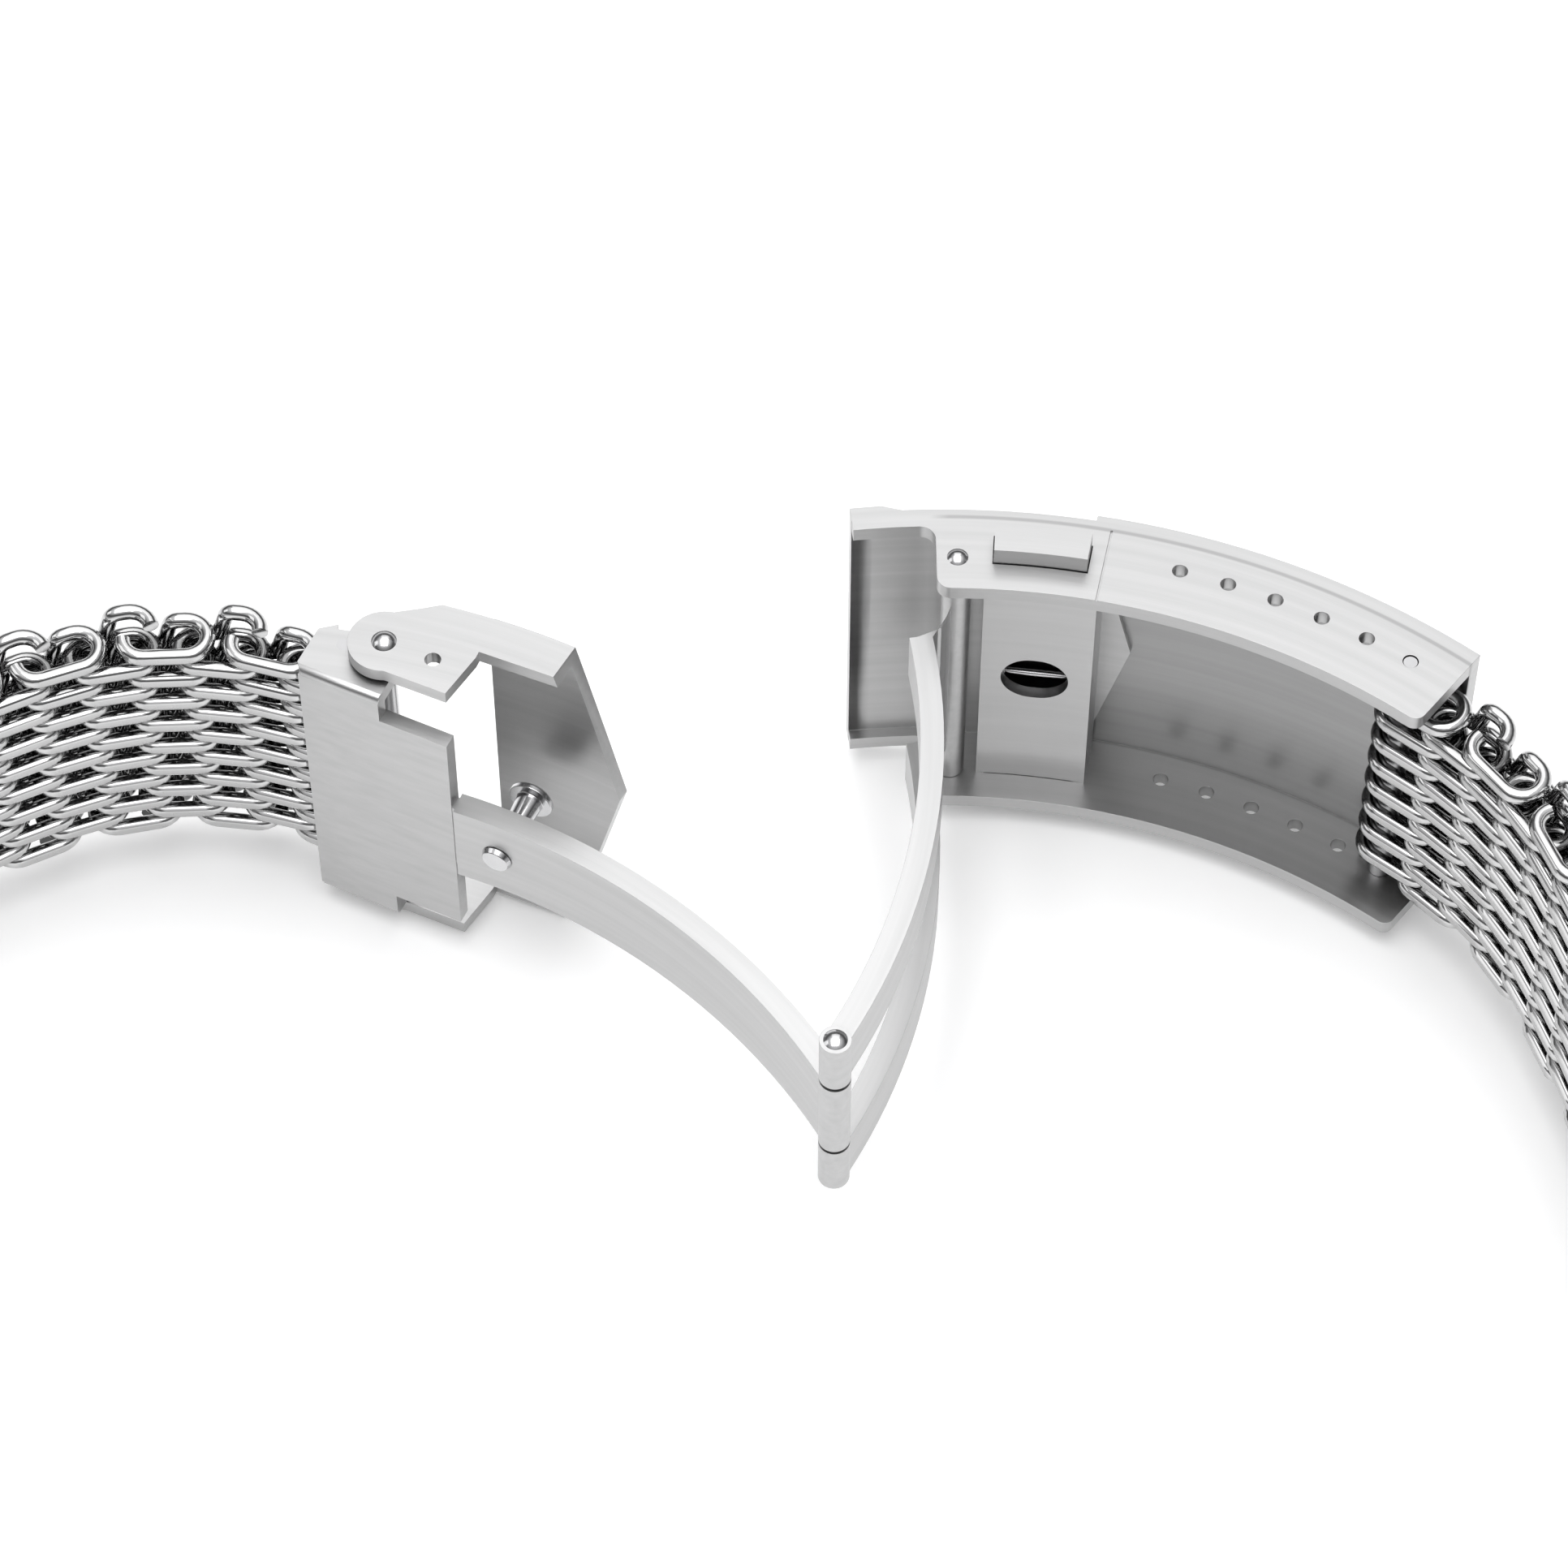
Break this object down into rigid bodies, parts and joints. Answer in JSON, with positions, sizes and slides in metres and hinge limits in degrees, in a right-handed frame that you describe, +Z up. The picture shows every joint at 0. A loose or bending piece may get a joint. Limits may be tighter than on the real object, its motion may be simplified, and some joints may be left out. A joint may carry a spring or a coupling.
{
  "type": "shark mesh bracelet",
  "caption": "Shark mesh watch bracelet of interlinked wire rows with a folding clasp, flip lock, push buttons, adjustment holes and spring bars, shown open on its side edge.",
  "frame": {"origin": "centre of the bounding box in plan, on the surface that the bracelet stands on", "axes": "+X to the right along the open bracelet, +Y away from the viewer through the clasp cover, +Z up along the width of the bracelet"},
  "size_m": [0.1278, 0.0644, 0.0275],
  "materials": {
    "brushed_clasp": "brushed",
    "polished_fittings": "polished",
    "mesh_wire": "ground flat faces, polished edges",
    "spring_bar": "satin"
  },
  "bodies": {
    "clasp": {"clasp_cover": "brushed_clasp", "catch_box": "brushed_clasp", "blade_pin": "polished_fittings", "catch_wire_upper": "polished_fittings", "catch_wire_lower": "polished_fittings", "cover_bar_barrel": "spring_bar", "cover_bar_spring": "spring_bar"},
    "upper_button": {"push_button_upper": "polished_fittings"},
    "lower_button": {"push_button_lower": "polished_fittings"},
    "outer_fold": {"outer_blade": "brushed_clasp", "fold_pin": "polished_fittings"},
    "inner_fold": {"end_plate": "brushed_clasp", "catch_stud": "polished_fittings", "plate_pin": "polished_fittings"},
    "lock": {"flip_lock": "brushed_clasp", "flip_lock_pin": "polished_fittings"},
    "cover_bar_upper_tip": {"cover_bar_tip_upper": "spring_bar"},
    "cover_bar_lower_tip": {"cover_bar_tip_lower": "spring_bar"},
    "left_lug_bar_upper_tip": {"left_lug_bar_tip_upper": "spring_bar"},
    "left_lug_bar_lower_tip": {"left_lug_bar_tip_lower": "spring_bar"},
    "right_lug_bar_upper_tip": {"right_lug_bar_tip_upper": "spring_bar"},
    "right_lug_bar_lower_tip": {"right_lug_bar_tip_lower": "spring_bar"},
    "left_01": {"left_row_01": "mesh_wire"},
    "left_02": {"left_row_02": "mesh_wire"},
    "left_03": {"left_row_03": "mesh_wire"},
    "left_04": {"left_row_04": "mesh_wire"},
    "left_05": {"left_row_05": "mesh_wire"},
    "left_06": {"left_row_06": "mesh_wire"},
    "left_07": {"left_row_07": "mesh_wire"},
    "left_08": {"left_row_08": "mesh_wire"},
    "left_09": {"left_row_09": "mesh_wire"},
    "left_10": {"left_row_10": "mesh_wire"},
    "left_11": {"left_row_11": "mesh_wire"},
    "left_12": {"left_row_12": "mesh_wire"},
    "left_13": {"left_row_13": "mesh_wire"},
    "left_14": {"left_row_14": "mesh_wire"},
    "left_15": {"left_row_15": "mesh_wire"},
    "left_16": {"left_row_16": "mesh_wire", "left_lug_bar_barrel": "spring_bar", "left_lug_bar_spring": "spring_bar"},
    "right_01": {"right_row_01": "mesh_wire"},
    "right_02": {"right_row_02": "mesh_wire"},
    "right_03": {"right_row_03": "mesh_wire"},
    "right_04": {"right_row_04": "mesh_wire"},
    "right_05": {"right_row_05": "mesh_wire"},
    "right_06": {"right_row_06": "mesh_wire"},
    "right_07": {"right_row_07": "mesh_wire"},
    "right_08": {"right_row_08": "mesh_wire"},
    "right_09": {"right_row_09": "mesh_wire"},
    "right_10": {"right_row_10": "mesh_wire"},
    "right_11": {"right_row_11": "mesh_wire"},
    "right_12": {"right_row_12": "mesh_wire"},
    "right_13": {"right_row_13": "mesh_wire"},
    "right_14": {"right_row_14": "mesh_wire"},
    "right_15": {"right_row_15": "mesh_wire"},
    "right_16": {"right_row_16": "mesh_wire", "right_lug_bar_barrel": "spring_bar", "right_lug_bar_spring": "spring_bar"}
  },
  "joints": [
    {"name": "fold", "type": "hinge", "parent": "clasp", "child": "outer_fold", "pos_m": [0.01874, 0.02805, 0.01375], "axis": [0, 0, 1], "range_deg": [0, 75.9]},
    {"name": "knuckle", "type": "hinge", "parent": "outer_fold", "child": "inner_fold", "pos_m": [0.01087, -0.00545, 0.01375], "axis": [0, 0, 1], "range_deg": [-59.25, 0]},
    {"name": "flip_lock", "type": "hinge", "parent": "inner_fold", "child": "lock", "pos_m": [-0.01714, 0.02047, 0.01375], "axis": [0, 0, 1], "range_deg": [0, 105]},
    {"name": "upper_button", "type": "slide", "parent": "clasp", "child": "upper_button", "axis": [0, 0, -1], "range_m": [0, 0.001], "stiffness_N_per_m": 300, "springref_m": -0.001, "deforming": ["catch_wire_lower"]},
    {"name": "lower_button", "type": "slide", "parent": "clasp", "child": "lower_button", "axis": [0, 0, 1], "range_m": [0, 0.001], "stiffness_N_per_m": 300, "springref_m": -0.001, "deforming": ["catch_wire_upper"]},
    {"name": "cover_bar_upper_tip", "type": "slide", "parent": "clasp", "child": "cover_bar_upper_tip", "axis": [0, 0, -1], "range_m": [0, 0.001], "stiffness_N_per_m": 1000, "springref_m": -0.002, "deforming": ["cover_bar_spring"]},
    {"name": "cover_bar_lower_tip", "type": "slide", "parent": "clasp", "child": "cover_bar_lower_tip", "axis": [0, 0, 1], "range_m": [0, 0.001], "stiffness_N_per_m": 1000, "springref_m": -0.002, "deforming": ["cover_bar_spring"]},
    {"name": "left_lug_bar_upper_tip", "type": "slide", "parent": "left_16", "child": "left_lug_bar_upper_tip", "axis": [0, 0, -1], "range_m": [0, 0.001], "stiffness_N_per_m": 1000, "springref_m": -0.002, "deforming": ["left_lug_bar_spring"]},
    {"name": "left_lug_bar_lower_tip", "type": "slide", "parent": "left_16", "child": "left_lug_bar_lower_tip", "axis": [0, 0, 1], "range_m": [0, 0.001], "stiffness_N_per_m": 1000, "springref_m": -0.002, "deforming": ["left_lug_bar_spring"]},
    {"name": "right_lug_bar_upper_tip", "type": "slide", "parent": "right_16", "child": "right_lug_bar_upper_tip", "axis": [0, 0, -1], "range_m": [0, 0.001], "stiffness_N_per_m": 1000, "springref_m": -0.002, "deforming": ["right_lug_bar_spring"]},
    {"name": "right_lug_bar_lower_tip", "type": "slide", "parent": "right_16", "child": "right_lug_bar_lower_tip", "axis": [0, 0, 1], "range_m": [0, 0.001], "stiffness_N_per_m": 1000, "springref_m": -0.002, "deforming": ["right_lug_bar_spring"]},
    {"name": "left_row_01", "type": "hinge", "parent": "inner_fold", "child": "left_01", "pos_m": [-0.01978, 0.02119, 0.01375], "axis": [0, 0, -1], "range_deg": [-2, 5]},
    {"name": "left_row_02", "type": "hinge", "parent": "left_01", "child": "left_02", "pos_m": [-0.0229, 0.02261, 0.01375], "axis": [0, 0, -1], "range_deg": [-5, 13]},
    {"name": "left_row_03", "type": "hinge", "parent": "left_02", "child": "left_03", "pos_m": [-0.02622, 0.02353, 0.01375], "axis": [0, 0, -1], "range_deg": [-5, 13]},
    {"name": "left_row_04", "type": "hinge", "parent": "left_03", "child": "left_04", "pos_m": [-0.02965, 0.02392, 0.01375], "axis": [0, 0, -1], "range_deg": [-5, 13]},
    {"name": "left_row_05", "type": "hinge", "parent": "left_04", "child": "left_05", "pos_m": [-0.0331, 0.02377, 0.01375], "axis": [0, 0, -1], "range_deg": [-5, 13]},
    {"name": "left_row_06", "type": "hinge", "parent": "left_05", "child": "left_06", "pos_m": [-0.03648, 0.02308, 0.01375], "axis": [0, 0, -1], "range_deg": [-5, 13]},
    {"name": "left_row_07", "type": "hinge", "parent": "left_06", "child": "left_07", "pos_m": [-0.03971, 0.02187, 0.01375], "axis": [0, 0, -1], "range_deg": [-9, 9]},
    {"name": "left_row_08", "type": "hinge", "parent": "left_07", "child": "left_08", "pos_m": [-0.04282, 0.02039, 0.01375], "axis": [0, 0, -1], "range_deg": [-9, 9]},
    {"name": "left_row_09", "type": "hinge", "parent": "left_08", "child": "left_09", "pos_m": [-0.04579, 0.01863, 0.01375], "axis": [0, 0, -1], "range_deg": [-9, 9]},
    {"name": "left_row_10", "type": "hinge", "parent": "left_09", "child": "left_10", "pos_m": [-0.0486, 0.01663, 0.01375], "axis": [0, 0, -1], "range_deg": [-9, 9]},
    {"name": "left_row_11", "type": "hinge", "parent": "left_10", "child": "left_11", "pos_m": [-0.05123, 0.01439, 0.01375], "axis": [0, 0, -1], "range_deg": [-9, 9]},
    {"name": "left_row_12", "type": "hinge", "parent": "left_11", "child": "left_12", "pos_m": [-0.05364, 0.01193, 0.01375], "axis": [0, 0, -1], "range_deg": [-9, 9]},
    {"name": "left_row_13", "type": "hinge", "parent": "left_12", "child": "left_13", "pos_m": [-0.05584, 0.00927, 0.01375], "axis": [0, 0, -1], "range_deg": [-9, 9]},
    {"name": "left_row_14", "type": "hinge", "parent": "left_13", "child": "left_14", "pos_m": [-0.05779, 0.00642, 0.01375], "axis": [0, 0, -1], "range_deg": [-9, 9]},
    {"name": "left_row_15", "type": "hinge", "parent": "left_14", "child": "left_15", "pos_m": [-0.05949, 0.00342, 0.01375], "axis": [0, 0, -1], "range_deg": [-9, 9]},
    {"name": "left_row_16", "type": "hinge", "parent": "left_15", "child": "left_16", "pos_m": [-0.06092, 0.00028, 0.01375], "axis": [0, 0, -1], "range_deg": [-9, 9]},
    {"name": "right_row_01", "type": "hinge", "parent": "clasp", "child": "right_01", "pos_m": [0.04685, 0.01988, 0.01375], "axis": [0, 0, 1], "range_deg": [-14, 1]},
    {"name": "right_row_02", "type": "hinge", "parent": "right_01", "child": "right_02", "pos_m": [0.04931, 0.01796, 0.01375], "axis": [0, 0, 1], "range_deg": [-6.5, 11.5]},
    {"name": "right_row_03", "type": "hinge", "parent": "right_02", "child": "right_03", "pos_m": [0.05173, 0.0155, 0.01375], "axis": [0, 0, 1], "range_deg": [-6.5, 11.5]},
    {"name": "right_row_04", "type": "hinge", "parent": "right_03", "child": "right_04", "pos_m": [0.05381, 0.01275, 0.01375], "axis": [0, 0, 1], "range_deg": [-6.5, 11.5]},
    {"name": "right_row_05", "type": "hinge", "parent": "right_04", "child": "right_05", "pos_m": [0.05551, 0.00974, 0.01375], "axis": [0, 0, 1], "range_deg": [-6.5, 11.5]},
    {"name": "right_row_06", "type": "hinge", "parent": "right_05", "child": "right_06", "pos_m": [0.0568, 0.00655, 0.01375], "axis": [0, 0, 1], "range_deg": [-11.5, 6.5]},
    {"name": "right_row_07", "type": "hinge", "parent": "right_06", "child": "right_07", "pos_m": [0.05795, 0.00329, 0.01375], "axis": [0, 0, 1], "range_deg": [-11.5, 6.5]},
    {"name": "right_row_08", "type": "hinge", "parent": "right_07", "child": "right_08", "pos_m": [0.05896, -0.00001, 0.01375], "axis": [0, 0, 1], "range_deg": [-11.5, 6.5]},
    {"name": "right_row_09", "type": "hinge", "parent": "right_08", "child": "right_09", "pos_m": [0.05982, -0.00335, 0.01375], "axis": [0, 0, 1], "range_deg": [-11.5, 6.5]},
    {"name": "right_row_10", "type": "hinge", "parent": "right_09", "child": "right_10", "pos_m": [0.06054, -0.00672, 0.01375], "axis": [0, 0, 1], "range_deg": [-11.5, 6.5]},
    {"name": "right_row_11", "type": "hinge", "parent": "right_10", "child": "right_11", "pos_m": [0.06111, -0.01012, 0.01375], "axis": [0, 0, 1], "range_deg": [-11.5, 6.5]},
    {"name": "right_row_12", "type": "hinge", "parent": "right_11", "child": "right_12", "pos_m": [0.06153, -0.01355, 0.01375], "axis": [0, 0, 1], "range_deg": [-11.5, 6.5]},
    {"name": "right_row_13", "type": "hinge", "parent": "right_12", "child": "right_13", "pos_m": [0.0618, -0.01699, 0.01375], "axis": [0, 0, 1], "range_deg": [-11.5, 6.5]},
    {"name": "right_row_14", "type": "hinge", "parent": "right_13", "child": "right_14", "pos_m": [0.06192, -0.02043, 0.01375], "axis": [0, 0, 1], "range_deg": [-11.5, 6.5]},
    {"name": "right_row_15", "type": "hinge", "parent": "right_14", "child": "right_15", "pos_m": [0.06189, -0.02388, 0.01375], "axis": [0, 0, 1], "range_deg": [-11.5, 6.5]},
    {"name": "right_row_16", "type": "hinge", "parent": "right_15", "child": "right_16", "pos_m": [0.06171, -0.02733, 0.01375], "axis": [0, 0, 1], "range_deg": [-11.5, 6.5]}
  ],
  "couplings": [
    {"joint": "knuckle", "follows": "fold", "ratio": -0.77552},
    {"joint": "flip_lock", "follows": "fold", "ratio": 1.3743}
  ]
}
